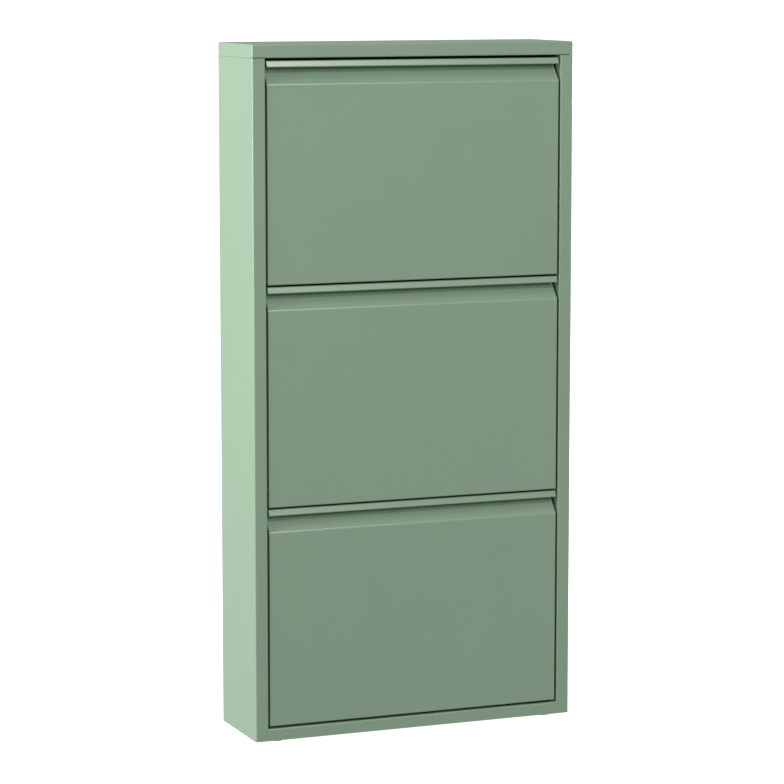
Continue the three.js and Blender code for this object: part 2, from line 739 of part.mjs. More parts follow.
const cabinet = new THREE.Group();
cabinet.add(carcass());
LEVELS.forEach((_, level) => cabinet.add(compartment(level)));

export default cabinet;
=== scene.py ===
"""The looks of a slim steel shoe cabinet with three tip-out flaps, built round its CAD frame.

Every CAD node is replaced by a finer piece in the same place: folded sheet with round bends, turned
pins and studs, moulded feet. Outlines are in millimetres, in the row frame: +X right, +Y back, +Z up.
Those of a flap count their heights from the flap's lower edge. Objects are made in metres.
"""

import json
import math

import bmesh
import bpy
from mathutils import Matrix, Vector
from mathutils.geometry import tessellate_polygon


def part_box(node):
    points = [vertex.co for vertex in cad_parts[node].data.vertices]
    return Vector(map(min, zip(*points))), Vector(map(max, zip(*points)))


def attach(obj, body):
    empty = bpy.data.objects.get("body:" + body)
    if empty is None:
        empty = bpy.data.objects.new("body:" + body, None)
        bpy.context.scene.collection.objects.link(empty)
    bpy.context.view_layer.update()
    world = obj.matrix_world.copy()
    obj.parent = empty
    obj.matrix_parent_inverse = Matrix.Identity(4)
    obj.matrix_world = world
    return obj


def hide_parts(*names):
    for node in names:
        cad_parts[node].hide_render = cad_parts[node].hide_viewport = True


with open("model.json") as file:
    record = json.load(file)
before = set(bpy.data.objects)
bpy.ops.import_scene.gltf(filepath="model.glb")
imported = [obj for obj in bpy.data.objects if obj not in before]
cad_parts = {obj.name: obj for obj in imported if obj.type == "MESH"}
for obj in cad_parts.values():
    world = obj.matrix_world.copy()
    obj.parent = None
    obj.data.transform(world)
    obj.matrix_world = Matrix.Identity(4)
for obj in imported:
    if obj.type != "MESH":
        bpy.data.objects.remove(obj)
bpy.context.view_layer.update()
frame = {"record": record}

MM = 0.001
RECORD = frame["record"]
BODY_OF = {node: body for body, nodes in RECORD["behaviour"]["bodies"].items() for node in nodes}


def extents(node):
    """The lowest and highest corners of a CAD node at rest, in millimetres."""
    low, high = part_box(node)
    return low / MM, high / MM


# ---------------------------------------------------------------------------------------------
# Dimensions in millimetres: the pieces' own, then those that the frame gives
# ---------------------------------------------------------------------------------------------

SHEET = 0.8
BEND = 2.0  # outside radius of a bend
BEND_STEPS = 8  # facets in a right-angled bend
EDGE_STEPS = 5  # facets in the edge between a flap's face and a side fold
SLOT_STEPS = 24  # facets along a stop slot
ROUND = 48  # sides of a turned piece
GAP = 0.3  # left between pieces that touch
SNUG = 0.15  # gap where the bottom rail meets a stile
SEAM = 0.4  # gap between the cap and the side panels
REACH = 5  # how far a cutter passes through what it cuts
SHEET_EDGE = 0.16  # how far the cut edges of the sheet are softened by the paint
SHARPEST = math.radians(40)  # edges that turn by more than this are softened

STILE_RETURN = 20  # depth of the fold behind the front face of a stile
REAR_FLANGE = 15
CAP_RETURN = 15  # how far the cap's front skirt is folded back underneath
UPSTAND = 18  # rear fold of the bottom panel
TAB_HALF_LENGTH = 55  # the tab on a side panel that stands inside the cap
TAB_DROP = 24  # how far down the side panel that tab is welded
TAB_STEP = 3  # the joggle that brings it inside the cap's skirt

FLAP_RETURN = 14  # depth of the folds at a flap's sides and lower edge
FLAP_EDGE = 1.5  # radius of the edges between a flap's face and its side folds
FOLD_STOP = 6  # the side folds end this far short of the slope's upper end
FOLD_NECK = 8  # how far below the slope's foot their inner edge turns to follow it
FOLD_TIP = (7, -5)  # from the end of a side fold's outer edge to the end of its inner one
GROOVE_HEIGHT = 34  # from the flap's top down to the bend where its face starts to slope back
GROOVE_DEPTH = 27  # how far the slope reaches back
GROOVE_BEND = 6.5  # softer than the other bends
LIP_HEIGHT = 9.5
LIP_LEAN = 2.4  # the lip's top lies this far behind its lower edge
HEM_RADIUS = 1.3
HEM_GAP = 1.6  # between the two layers of the hemmed lip
HEM_RISE = 5

TRAY_FLOOR = 5
TRAY_REAR = 54
TRAY_WALL = 108
TRAY_LIP = 14  # height of the tray's front fold
TRAY_FOLD = 7  # depth of the fold along the top of the tray's wall
TRAY_TAB = 11  # folds at the tray's ends, against the cheeks
TAB_TOP = 8  # how far those folds end below the wall's top
TAB_CORNER = 6  # radius of their inner corner
CHEEK_REAR = 58
CHEEK_TOP = 275
CHEEK_HEEL = 10  # radius of a cheek's lower rear corner
CHEEK_SHOULDER = 110  # where the rear edge starts to lean forward
CHEEK_TIP = -46  # y of the rear end of the cheeks' top edge
STOP_SWING = math.radians(40)
SLOT_HALF_WIDTH = 5.6

ROD_RADIUS = 2.5
ROD_HOLE = ROD_RADIUS + GAP
ROD_COLLAR = 4.2  # radius of the collar inside each cheek
ROD_HEAD = 3.7  # radius of the peened head outside it
COLLAR_WIDTH = 2.5
PEEN = 0.8  # how far a rod's peened head stands out
PIN_RADIUS = 3
PIN_HOLE = 3.3
PIN_HEAD = 5.5  # radius of the head inside the cheek
PIN_HEAD_HEIGHT = 1.5
PIN_TIP = 4.2  # radius of the peened end, past the bush
PIN_TIP_HEIGHT = 1.4
BUSH_BORE = 3.12
BUSH_RADIUS = 4.5
BUSH_HOLE = 4.8
BUSH_FLANGE = 6.9
BUSH_FLANGE_DEPTH = 1.6
BUSH_TAIL = 2.5  # how far a bush reaches past the stile's face
STUD_RADIUS = 3
STUD_HEAD = 4.2
STUD_HEAD_HEIGHT = 1.2
STUD_BASE = 7.5  # radius of the plate that is welded to the side panel
STUD_PLATE = 1.5  # thickness of that plate
SLEEVE_RADIUS = 5
SLEEVE_BORE = 3.2
SLEEVE_CHAMFER = 0.5
SLEEVE_INSIDE = 2.2  # how far a sleeve stands out of the slot, on the side of the shoes
SLEEVE_OUTSIDE = 2.6  # and on the side of the side panel

FOOT_PLUG = 3.8  # radius of the plug that passes the bottom panel
FOOT_BARB = 5  # radius of the barb above it
FOOT_HOLE = 4.1
FOOT_PLAY = 0.4  # between a foot and the sheet it is snapped into
SOLE_HOLLOW = 5  # radius of the shallow hollow in a foot's sole
SOLE_DEPTH = 0.6
SCREW_HOLE = 2.0
SCREW_SHANK = 1.6
SCREW_HEAD = 3.8
SCREW_RIM = 0.5  # height of the head's straight rim
SCREW_DOME = (0.65, 3.55)  # rise and radius of the dome on the head
SCREW_TIP = 1.2  # radius of the blunt end
RECESS_LENGTH = 3.4  # of the cross in a screw's head
RECESS_WIDTH = 0.9
RECESS_DEPTH = 1.0
KEYHOLE_X = 190
KEYHOLE_Z = 985
KEYHOLE_RADIUS = 5
KEYHOLE_SLOT = 2.6  # half the width of the keyhole's slot
KEYHOLE_RISE = 12

LEVELS = ["lower", "middle", "upper"]
SIDES = {"left": -1, "right": 1}
CORNERS = [f"foot_{y}_{x}" for y in ("front", "rear") for x in SIDES]
SCREWS = [f"back_screw_{i + 1}" for i in range(8)]

panel_low, panel_high = extents("right_side_panel")
cap_low, cap_high = extents("top_cap")
OPENING, FRONT, SHEET_RISE = panel_low
SIDE, REAR, _ = panel_high
CAP_FOOT = cap_low.z
HEIGHT = cap_high.z
SIDE_TOP = CAP_FOOT - SEAM
BOTTOM_TOP = extents("bottom_panel")[1].z - UPSTAND


def middle(node):
    """The middle of a CAD node, in millimetres."""
    low, high = extents(node)
    return (low + high) / 2


# ---------------------------------------------------------------------------------------------
# Outlines
# ---------------------------------------------------------------------------------------------


def arc(centre, radius, start, end, steps):
    """Points on an arc from one angle to another, both ends included."""
    turns = [start + (end - start) * k / steps for k in range(steps + 1)]
    return [(centre[0] + radius * math.cos(t), centre[1] + radius * math.sin(t)) for t in turns]


def circle(centre, radius):
    return arc(centre, radius, 0, 2 * math.pi, ROUND)[:-1]


def bent(path):
    """The face of a folded sheet along a path of corners (u, v) or (u, v, outside radius).

    Gives the path's own face, and the sheet's other face, which lies to the right of the path.
    """
    corners = [Vector(corner[:2]) for corner in path]
    near, far = [], []
    for i, corner in enumerate(corners):
        before = (corner - corners[max(i - 1, 0)]).normalized()
        after = (corners[min(i + 1, len(corners) - 1)] - corner).normalized()
        if i in (0, len(corners) - 1):
            along = after if i == 0 else before
            near.append(tuple(corner))
            far.append(tuple(corner + Vector((along.y, -along.x)) * SHEET))
            continue
        left = 1 if before.cross(after) > 0 else -1
        angle = before.angle(after)
        outside = path[i][2] if len(path[i]) > 2 else BEND
        near_radius = outside - SHEET if left > 0 else outside
        far_radius = outside if left > 0 else outside - SHEET
        inward = Vector((-before.y, before.x)) * left
        centre = corner - before * near_radius * math.tan(angle / 2) + inward * near_radius
        start = math.atan2(-inward.y, -inward.x)
        steps = max(2, math.ceil(angle / (math.pi / 2) * BEND_STEPS))
        near += arc(centre, near_radius, start, start + left * angle, steps)
        far += arc(centre, far_radius, start, start + left * angle, steps)
    return near, far


def folded(path):
    """The closed outline of a folded sheet."""
    near, far = bent(path)
    return near + far[::-1]


# ---------------------------------------------------------------------------------------------
# Meshes
# ---------------------------------------------------------------------------------------------

AXES = {
    "xy": lambda u, v, w: (u, v, w),
    "yz": lambda u, v, w: (w, u, v),
    "zx": lambda u, v, w: (v, w, u),
}


def prism(outline, plane, low, high, holes=()):
    """A closed prism of an outline on a plane, with holes, from low to high along the third axis."""
    loops = [outline, *holes]
    made = bmesh.new()
    rings = []
    for w in (low, high):
        rings.append([[made.verts.new(AXES[plane](u, v, w)) for u, v in loop] for loop in loops])
    flat = [[Vector((u, v, 0)) for u, v in loop] for loop in loops]
    near = [vertex for loop in rings[0] for vertex in loop]
    far = [vertex for loop in rings[1] for vertex in loop]
    if holes:
        for a, b, c in tessellate_polygon(flat):
            made.faces.new((near[a], near[b], near[c]))
            made.faces.new((far[c], far[b], far[a]))
    else:
        made.faces.new(near)
        made.faces.new(far[::-1])
    for below, above in zip(*rings):
        for k in range(len(below)):
            j = (k + 1) % len(below)
            made.faces.new((below[k], below[j], above[j], above[k]))
    bmesh.ops.recalc_face_normals(made, faces=made.faces)
    return made


def turned(profile, centre, axis="x"):
    """A turned piece from (along, radius) pairs. A profile that leaves the axis out is a ring."""
    ring_profile = profile[0][1] > 0
    made = bmesh.new()
    rings = []
    for along, radius in profile:
        if radius == 0:
            rings.append([made.verts.new((along, 0, 0))] * ROUND)
            continue
        rings.append([made.verts.new((along, y, z)) for y, z in circle((0, 0), radius)])
    pairs = list(zip(rings, rings[1:] + rings[:1]))
    for here, there in pairs if ring_profile else pairs[:-1]:
        for k in range(ROUND):
            j = (k + 1) % ROUND
            corners = dict.fromkeys((here[k], here[j], there[j], there[k]))
            if len(corners) > 2:
                made.faces.new(corners)
    if axis == "y":
        bmesh.ops.rotate(made, verts=made.verts, matrix=Matrix.Rotation(math.pi / 2, 3, "Z"))
    if axis == "z":
        bmesh.ops.rotate(made, verts=made.verts, matrix=Matrix.Rotation(-math.pi / 2, 3, "Y"))
    bmesh.ops.translate(made, verts=made.verts, vec=Vector(centre))
    bmesh.ops.recalc_face_normals(made, faces=made.faces)
    return made


def mirrored(made):
    """The mirror image of a mesh across the plane x = 0."""
    bmesh.ops.scale(made, verts=made.verts, vec=Vector((-1, 1, 1)))
    bmesh.ops.reverse_faces(made, faces=made.faces)
    return made


def joined(*parts):
    """One mesh that holds several separate ones."""
    whole = parts[0]
    for part in parts[1:]:
        mesh = bpy.data.meshes.new("part")
        part.to_mesh(mesh)
        part.free()
        whole.from_mesh(mesh)
        bpy.data.meshes.remove(mesh)
    return whole


def object_of(made, name):
    """An object in metres from a mesh in millimetres."""
    bmesh.ops.scale(made, verts=made.verts, vec=Vector((MM, MM, MM)))
    mesh = bpy.data.meshes.new(name)
    made.to_mesh(mesh)
    made.free()
    piece = bpy.data.objects.new(name, mesh)
    bpy.context.scene.collection.objects.link(piece)
    return piece


def settle(piece):
    """Turns what the piece's modifiers make into its own mesh."""
    shown = piece.evaluated_get(bpy.context.evaluated_depsgraph_get())
    mesh = bpy.data.meshes.new_from_object(shown)
    piece.modifiers.clear()
    piece.data = mesh


def combine(piece, tool, operation):
    """Cuts the mesh tool from the piece, or joins it to it."""
    other = object_of(tool, "tool")
    change = piece.modifiers.new("change", "BOOLEAN")
    change.operation = operation
    change.solver = "EXACT"
    change.object = other
    settle(piece)
    bpy.data.objects.remove(other)


def cut(piece, *tools):
    combine(piece, joined(*tools), "DIFFERENCE")


def drill(axis, centre, radius):
    """A round cutter through a point, along an axis."""
    profile = [(-REACH, 0), (-REACH, radius), (REACH, radius), (REACH, 0)]
    return turned(profile, centre, axis)


def screw_holes(where):
    """Cutters for the holes of those back screws whose middle passes the test."""
    places = [middle(screw) for screw in SCREWS]
    return [drill("y", (at.x, REAR, at.z), SCREW_HOLE) for at in places if where(at)]


def block(low, high):
    x0, y0, z0 = low
    x1, y1, z1 = high
    return prism([(x0, y0), (x1, y0), (x1, y1), (x0, y1)], "xy", z0, z1)


def rounded_block(low, high, radius, rounded=lambda at: True):
    """A block with rounded edges: all of them, or those whose middle passes the test."""
    made = block(low, high)
    edges = [e for e in made.edges if rounded((e.verts[0].co + e.verts[1].co) / 2)]
    bmesh.ops.bevel(
        made,
        geom=edges,
        offset=radius,
        offset_type="OFFSET",
        segments=BEND_STEPS,
        profile=0.5,
        affect="EDGES",
        clamp_overlap=False,
    )
    return made


def finish_piece(node, piece, material, edge=SHEET_EDGE):
    """Softens the piece's edges, paints it, and puts it in the CAD node's place."""
    piece.name = f"{node}_finished"
    for polygon in piece.data.polygons:
        polygon.use_smooth = True
    soften = piece.modifiers.new("soft_edges", "BEVEL")
    soften.width = edge * MM
    soften.segments = 2
    soften.limit_method = "ANGLE"
    soften.angle_limit = SHARPEST
    normals = piece.modifiers.new("flat_faces_stay_flat", "WEIGHTED_NORMAL")
    normals.keep_sharp = True
    piece.data.materials.clear()
    piece.data.materials.append(material)
    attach(piece, BODY_OF[node])
    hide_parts(node)


# ---------------------------------------------------------------------------------------------
# Materials
# ---------------------------------------------------------------------------------------------


class Material:
    """A Principled material with object coordinates, which are the row frame's metres."""

    def __init__(self, name, base, roughness, metallic=0.0):
        self.material = bpy.data.materials.new(name)
        self.material.use_nodes = True
        self.tree = self.material.node_tree
        self.shader = self.tree.nodes["Principled BSDF"]
        self.shader.inputs["Metallic"].default_value = metallic
        self.shader.inputs["Roughness"].default_value = roughness
        self.shader.inputs["Base Color"].default_value = (*base, 1)
        self.place = self.tree.nodes.new("ShaderNodeTexCoord").outputs["Object"]

    def noise(self, size_mm, detail, stretch=(1, 1, 1)):
        """Noise whose features measure about size_mm, stretched along the axes."""
        mapping = self.tree.nodes.new("ShaderNodeMapping")
        mapping.inputs["Scale"].default_value = [1 / s for s in stretch]
        texture = self.tree.nodes.new("ShaderNodeTexNoise")
        texture.inputs["Scale"].default_value = 1 / (size_mm * MM)
        texture.inputs["Detail"].default_value = detail
        self.tree.links.new(self.place, mapping.inputs["Vector"])
        self.tree.links.new(mapping.outputs["Vector"], texture.inputs["Vector"])
        return texture.outputs["Fac"]

    def graded(self, value, low, high, start=0.3, end=0.7):
        """Maps a value's range to another one."""
        ramp = self.tree.nodes.new("ShaderNodeMapRange")
        for name, number in (("From Min", start), ("From Max", end), ("To Min", low), ("To Max", high)):
            ramp.inputs[name].default_value = number
        self.tree.links.new(value, ramp.inputs["Value"])
        return ramp.outputs["Result"]

    def mix(self, factor, one, other):
        """A colour between two, each an RGB tuple or another node's output."""
        mixer = self.tree.nodes.new("ShaderNodeMix")
        mixer.data_type = "RGBA"
        self.tree.links.new(factor, mixer.inputs["Factor"])
        for name, colour in (("A", one), ("B", other)):
            socket = [s for s in mixer.inputs if s.name == name and s.type == "RGBA"][0]
            if isinstance(colour, tuple):
                socket.default_value = (*colour, 1)
            else:
                self.tree.links.new(colour, socket)
        return [s for s in mixer.outputs if s.type == "RGBA"][0]

    def colour(self, value):
        self.tree.links.new(value, self.shader.inputs["Base Color"])

    def roughness(self, value):
        self.tree.links.new(value, self.shader.inputs["Roughness"])

    def bump(self, *layers):
        """Bump from (height, depth in mm, strength) layers, one on top of another."""
        normal = None
        for height, depth, strength in layers:
            node = self.tree.nodes.new("ShaderNodeBump")
            node.inputs["Distance"].default_value = depth * MM
            node.inputs["Strength"].default_value = strength
            self.tree.links.new(height, node.inputs["Height"])
            if normal:
                self.tree.links.new(normal, node.inputs["Normal"])
            normal = node.outputs["Normal"]
        self.tree.links.new(normal, self.shader.inputs["Normal"])


def shade(colour, factor):
    return tuple(channel * factor for channel in colour)


GREEN = (0.297, 0.43, 0.301)


def powder_coat():
    """Sage green powder coat: fine orange peel, faint cloudiness, slightly uneven gloss."""
    paint = Material("sage_powder_coat", GREEN, 0.25)
    paint.shader.inputs["Specular IOR Level"].default_value = 0.7
    clouds = paint.graded(paint.noise(120, 3, (1, 1, 1.8)), 0, 1)
    paint.colour(paint.mix(clouds, shade(GREEN, 0.985), shade(GREEN, 1.015)))
    paint.roughness(paint.graded(paint.noise(35, 4), 0.23, 0.28))
    paint.bump((paint.noise(4, 1), 0.02, 0.25), (paint.noise(1.1, 1), 0.003, 0.25))
    return paint.material


def zinc_plating():
    """Bright zinc plating on steel, with a faint bluish and straw-coloured cast."""
    zinc = Material("zinc_plating", (0.62, 0.63, 0.65), 0.3, 1.0)
    cast = zinc.graded(zinc.noise(6, 3), 0, 1)
    zinc.colour(zinc.mix(cast, (0.6, 0.63, 0.68), (0.68, 0.65, 0.58)))
    zinc.roughness(zinc.graded(zinc.noise(1.5, 4), 0.24, 0.42))
    zinc.bump((zinc.noise(0.5, 3, (6, 1, 1)), 0.02, 0.5))
    return zinc.material


def black_nylon():
    """Black moulded nylon, with a slightly greyer haze from the mould."""
    nylon = Material("black_nylon", (0.018, 0.018, 0.019), 0.45)
    haze = nylon.graded(nylon.noise(4, 3), 0, 1)
    nylon.colour(nylon.mix(haze, (0.014, 0.014, 0.015), (0.026, 0.026, 0.027)))
    nylon.roughness(nylon.graded(nylon.noise(1.2, 2), 0.38, 0.55))
    nylon.bump((nylon.noise(0.6, 2), 0.01, 0.4))
    return nylon.material


def black_rubber():
    """Black rubber sleeve with a faint bloom."""
    rubber = Material("black_rubber", (0.02, 0.02, 0.021), 0.8)
    bloom = rubber.graded(rubber.noise(3, 4), 0, 1, 0.45, 0.8)
    rubber.colour(rubber.mix(bloom, (0.016, 0.016, 0.017), (0.05, 0.05, 0.05)))
    rubber.roughness(rubber.graded(rubber.noise(0.8, 3), 0.68, 0.9))
    rubber.bump((rubber.noise(0.35, 3), 0.03, 0.6))
    return rubber.material


def foot_plastic():
    """Dark grey plastic with a spark-eroded grain."""
    plastic = Material("foot_plastic", (0.03, 0.032, 0.034), 0.55)
    tone = plastic.graded(plastic.noise(7, 3), 0, 1)
    plastic.colour(plastic.mix(tone, (0.026, 0.028, 0.03), (0.04, 0.042, 0.044)))
    plastic.roughness(plastic.graded(plastic.noise(0.5, 2), 0.45, 0.65))
    plastic.bump((plastic.noise(0.4, 3), 0.03, 0.7))
    return plastic.material


PAINT = powder_coat()
ZINC = zinc_plating()
NYLON = black_nylon()
RUBBER = black_rubber()
PLASTIC = foot_plastic()


# ---------------------------------------------------------------------------------------------
# Carcass
# ---------------------------------------------------------------------------------------------


def side_panels():
    """The two side panels: stile and return, wall, rear flange, and the tab inside the cap."""
    outline = folded(
        [
            (SIDE - REAR_FLANGE, REAR),
            (SIDE, REAR),
            (SIDE, FRONT),
            (OPENING, FRONT),
            (OPENING, FRONT + STILE_RETURN),
        ]
    )
    wall = SIDE - SHEET
    face = wall - GAP
    tab = [
        (SIDE_TOP - TAB_DROP, wall + SHEET / 2),
        (SIDE_TOP - TAB_STEP - 1, wall + SHEET / 2),
        (SIDE_TOP - TAB_STEP, face),
        (HEIGHT - TAB_STEP, face),
        (HEIGHT - TAB_STEP, face - SHEET),
        (SIDE_TOP - TAB_DROP, face - SHEET),
    ]
    for side, sign in SIDES.items():
        facing = mirrored if sign < 0 else lambda made: made
        panel = object_of(facing(prism(outline, "xy", SHEET_RISE, SIDE_TOP)), "panel")
        combine(panel, facing(prism(tab, "zx", -TAB_HALF_LENGTH, TAB_HALF_LENGTH)), "UNION")
        bushes = [middle(f"{level}_right_bush") for level in LEVELS]
        holes = [drill("x", (OPENING, at.y, at.z), BUSH_HOLE) for at in bushes]
        holes += screw_holes(lambda at: at.x > SIDE - REAR_FLANGE)
        cut(panel, facing(joined(*holes)))
        finish_piece(f"{side}_side_panel", panel, PAINT)


def top_cap():
    """The cap: a lid with rounded edges and corners, its front skirt folded back underneath."""

    def bent_edge(at):
        return at.z > CAP_FOOT + BEND or at.y < FRONT + BEND

    outer = rounded_block((-SIDE, FRONT, CAP_FOOT), (SIDE, REAR, HEIGHT), BEND, bent_edge)
    shell = object_of(outer, "cap")
    hollow = rounded_block(
        (SHEET - SIDE, FRONT + SHEET, CAP_FOOT + SHEET),
        (SIDE - SHEET, REAR - SHEET, HEIGHT - SHEET),
        BEND - SHEET,
    )
    cut(shell, hollow)
    above_bends = CAP_FOOT + BEND + 1
    mouth = block(
        (SHEET - SIDE, FRONT + CAP_RETURN, CAP_FOOT - REACH),
        (SIDE - SHEET, REAR - SHEET, above_bends),
    )
    cut(shell, mouth)
    cut(shell, *screw_holes(lambda at: at.z > CAP_FOOT))
    finish_piece("top_cap", shell, PAINT)


def bottom_panel():
    """The bottom panel: bottom rail, floor, side flanges and rear upstand, round the four feet."""
    outline = folded(
        [
            (FRONT, SHEET_RISE),
            (FRONT, BOTTOM_TOP),
            (REAR - SHEET, BOTTOM_TOP),
            (REAR - SHEET, BOTTOM_TOP + UPSTAND),
        ]
    )
    half_width = extents("bottom_panel")[1].x
    behind_stile = FRONT + STILE_RETURN + GAP
    back_face = extents("back_panel")[1].y

    def stile_corner(at):
        return at.y < FRONT and abs(at.x) < OPENING

    plate = object_of(prism(outline, "yz", -half_width, half_width), "bottom")
    for sign in SIDES.values():
        inner, outer = sorted((sign * (half_width - SHEET), sign * half_width))
        flange = block(
            (inner, behind_stile, SHEET_RISE), (outer, back_face - GAP, BOTTOM_TOP - SHEET / 2)
        )
        combine(plate, flange, "UNION")
    tools = []
    for sign in SIDES.values():
        inner, outer = sorted((sign * (OPENING - SNUG), sign * (SIDE + REACH)))
        low, high = (inner, FRONT - SNUG, 0), (outer, behind_stile, BOTTOM_TOP + REACH)
        tools.append(rounded_block(low, high, BEND + SNUG, stile_corner))
        inner, outer = sorted((sign * (SIDE - REAR_FLANGE - SEAM), sign * (SIDE + REACH)))
        over = BOTTOM_TOP + UPSTAND + REACH
        tools.append(block((inner, back_face, 0), (outer, REAR + REACH, over)))
    for foot in CORNERS:
        at = middle(foot)
        tools.append(drill("z", (at.x, at.y, BOTTOM_TOP), FOOT_HOLE))
    tools += screw_holes(lambda at: at.z < BOTTOM_TOP + UPSTAND)
    cut(plate, *tools)
    finish_piece("bottom_panel", plate, PAINT)


def back_panel():
    """The back panel, with its screw holes and the two keyholes for wall screws."""
    low, high = extents("back_panel")
    outline = [(low.z, low.x), (high.z, low.x), (high.z, high.x), (low.z, high.x)]
    places = [middle(screw) for screw in SCREWS]
    holes = [circle((at.z, at.x), SCREW_HOLE) for at in places]
    spread = math.asin(KEYHOLE_SLOT / KEYHOLE_RADIUS)
    for x in (-KEYHOLE_X, KEYHOLE_X):
        wide = arc((KEYHOLE_Z, x), KEYHOLE_RADIUS, spread, 2 * math.pi - spread, ROUND)
        narrow = arc((KEYHOLE_Z + KEYHOLE_RISE, x), KEYHOLE_SLOT, -math.pi / 2, math.pi / 2, ROUND // 2)
        holes.append(wide + narrow)
    panel = object_of(prism(outline, "zx", low.y, high.y, holes), "back")
    finish_piece("back_panel", panel, PAINT)


def feet():
    """The four plastic feet: a shallow hollow in the sole, and a barbed plug on top."""
    low, high = extents(CORNERS[0])
    radius = (high.x - low.x) / 2
    under = BOTTOM_TOP - SHEET - FOOT_PLAY
    over = BOTTOM_TOP + FOOT_PLAY
    chamfer, shoulder, taper, barb = 1, 3, 2.5, 1.2
    profile = [
        (SOLE_DEPTH, 0),
        (SOLE_DEPTH, SOLE_HOLLOW),
        (0, SOLE_HOLLOW + SOLE_DEPTH),
        (0, radius - chamfer),
        (chamfer, radius),
        (under - shoulder, radius),
        (under, radius - taper),
        (under, FOOT_PLUG),
        (over, FOOT_PLUG),
        (over, FOOT_BARB),
        (over + barb - 0.2, FOOT_HOLE),
        (over + barb, FOOT_HOLE - 0.6),
        (over + barb, 0),
    ]
    for node in CORNERS:
        at = middle(node)
        foot = object_of(turned(profile, (at.x, at.y, 0), "z"), "foot")
        finish_piece(node, foot, PLASTIC, edge=0.3)


def cross_recess(at):
    """Cutters for the two arms of a cross recess, in a head that faces -y."""
    arms = []
    for long, short in ((RECESS_LENGTH, RECESS_WIDTH), (RECESS_WIDTH, RECESS_LENGTH)):
        low = (at.x - long / 2, at.y - REACH, at.z - short / 2)
        high = (at.x + long / 2, at.y + RECESS_DEPTH, at.z + short / 2)
        arms.append(block(low, high))
    return arms


def back_screws():
    """The pan head screws that hold the back panel on, with a cross recess in each head."""
    seat = extents("back_panel")[0].y - GAP
    rise, radius = SCREW_DOME
    for node in SCREWS:
        low, high = extents(node)
        at = middle(node)
        turns = (0.3, 0.6, 0.9, 1.2)
        profile = [
            (low.y, 0),
            *[(low.y + rise * (1 - math.cos(t)), radius * math.sin(t)) for t in turns],
            (seat - SCREW_RIM, SCREW_HEAD),
            (seat, SCREW_HEAD),
            (seat, SCREW_SHANK),
            (high.y - 0.3, SCREW_SHANK),
            (high.y, SCREW_TIP),
            (high.y, 0),
        ]
        screw = object_of(turned(profile, (at.x, 0, at.z), "y"), "screw")
        for arm in cross_recess(Vector((at.x, low.y, at.z))):
            cut(screw, arm)
        finish_piece(node, screw, ZINC, edge=0.1)


# ---------------------------------------------------------------------------------------------
# Flaps. Heights count from the flap's lower edge.
# ---------------------------------------------------------------------------------------------


def raised(made, height):
    bmesh.ops.translate(made, verts=made.verts, vec=Vector((0, 0, height)))
    return made


def flap_skin(side, face, height):
    """The face that shows of a flap's folded front, as an open surface with its side folds."""
    groove_foot = height - GROOVE_HEIGHT
    slope_top = Vector((face + GROOVE_DEPTH, height - SHEET))
    slope = (slope_top - Vector((face, groove_foot))).normalized()
    fold_end = slope_top - slope * FOLD_STOP
    lip_foot = height - LIP_HEIGHT + SHEET
    lip_inner = face + SHEET
    path = [
        (face + FLAP_RETURN, 0),
        (face, 0),
        (face, groove_foot, GROOVE_BEND),
        tuple(slope_top),
        (lip_inner + LIP_LEAN, height - SHEET),
        (lip_inner, lip_foot, HEM_RADIUS),
        (lip_inner + HEM_GAP, lip_foot, HEM_RADIUS),
        (lip_inner + HEM_GAP + LIP_LEAN / 2, lip_foot + HEM_RISE),
    ]
    points, _ = bent(path)
    fold_start = points.index(next(p for p in points if abs(p[0] - face) < 1e-6))
    above = next(i for i, p in enumerate(points) if p[1] > fold_end.y)
    points.insert(above, tuple(fold_end))
    made = bmesh.new()
    rows = {x: [made.verts.new((x, y, z)) for y, z in points] for x in (-side, side)}
    for i in range(len(points) - 1):
        left, right = rows[-side], rows[side]
        made.faces.new((left[i], right[i], right[i + 1], left[i + 1]))
    inner = [
        tuple(fold_end + Vector(FOLD_TIP)),
        (face + FLAP_RETURN, groove_foot - FOLD_NECK),
        (face + FLAP_RETURN, points[fold_start][1]),
    ]
    folds = []
    for x, row in rows.items():
        made.faces.new(row[fold_start : above + 1] + [made.verts.new((x, y, z)) for y, z in inner])
        folds += [made.edges.get((a, b)) for a, b in zip(row[fold_start:above], row[fold_start + 1 :])]
    bmesh.ops.bevel(
        made,
        geom=folds,
        offset=FLAP_EDGE,
        offset_type="OFFSET",
        segments=EDGE_STEPS,
        profile=0.5,
        affect="EDGES",
        clamp_overlap=False,
    )
    bmesh.ops.recalc_face_normals(made, faces=made.faces)
    front = max(made.faces, key=lambda f: f.calc_area())
    if front.normal.y > 0:
        bmesh.ops.reverse_faces(made, faces=made.faces)
    return made


def thicken(piece):
    """Gives an open surface the sheet's thickness, on the side that its faces turn away from."""
    solid = piece.modifiers.new("sheet", "SOLIDIFY")
    solid.thickness = SHEET * MM
    solid.offset = -1
    solid.use_even_offset = True
    solid.use_quality_normals = True
    settle(piece)


def flap_front(level):
    """The folded front of a flap, in the sheet's thickness, with the holes for its two pins."""
    node = f"{level}_flap_front"
    low, high = extents(node)
    piece = object_of(raised(flap_skin(high.x, low.y, high.z - low.z), low.z), node)
    thicken(piece)
    pin = middle(f"{level}_right_pivot_pin")
    cut(piece, *[drill("x", (x, pin.y, pin.z), PIN_HOLE) for x in (low.x, high.x)])
    finish_piece(node, piece, PAINT)


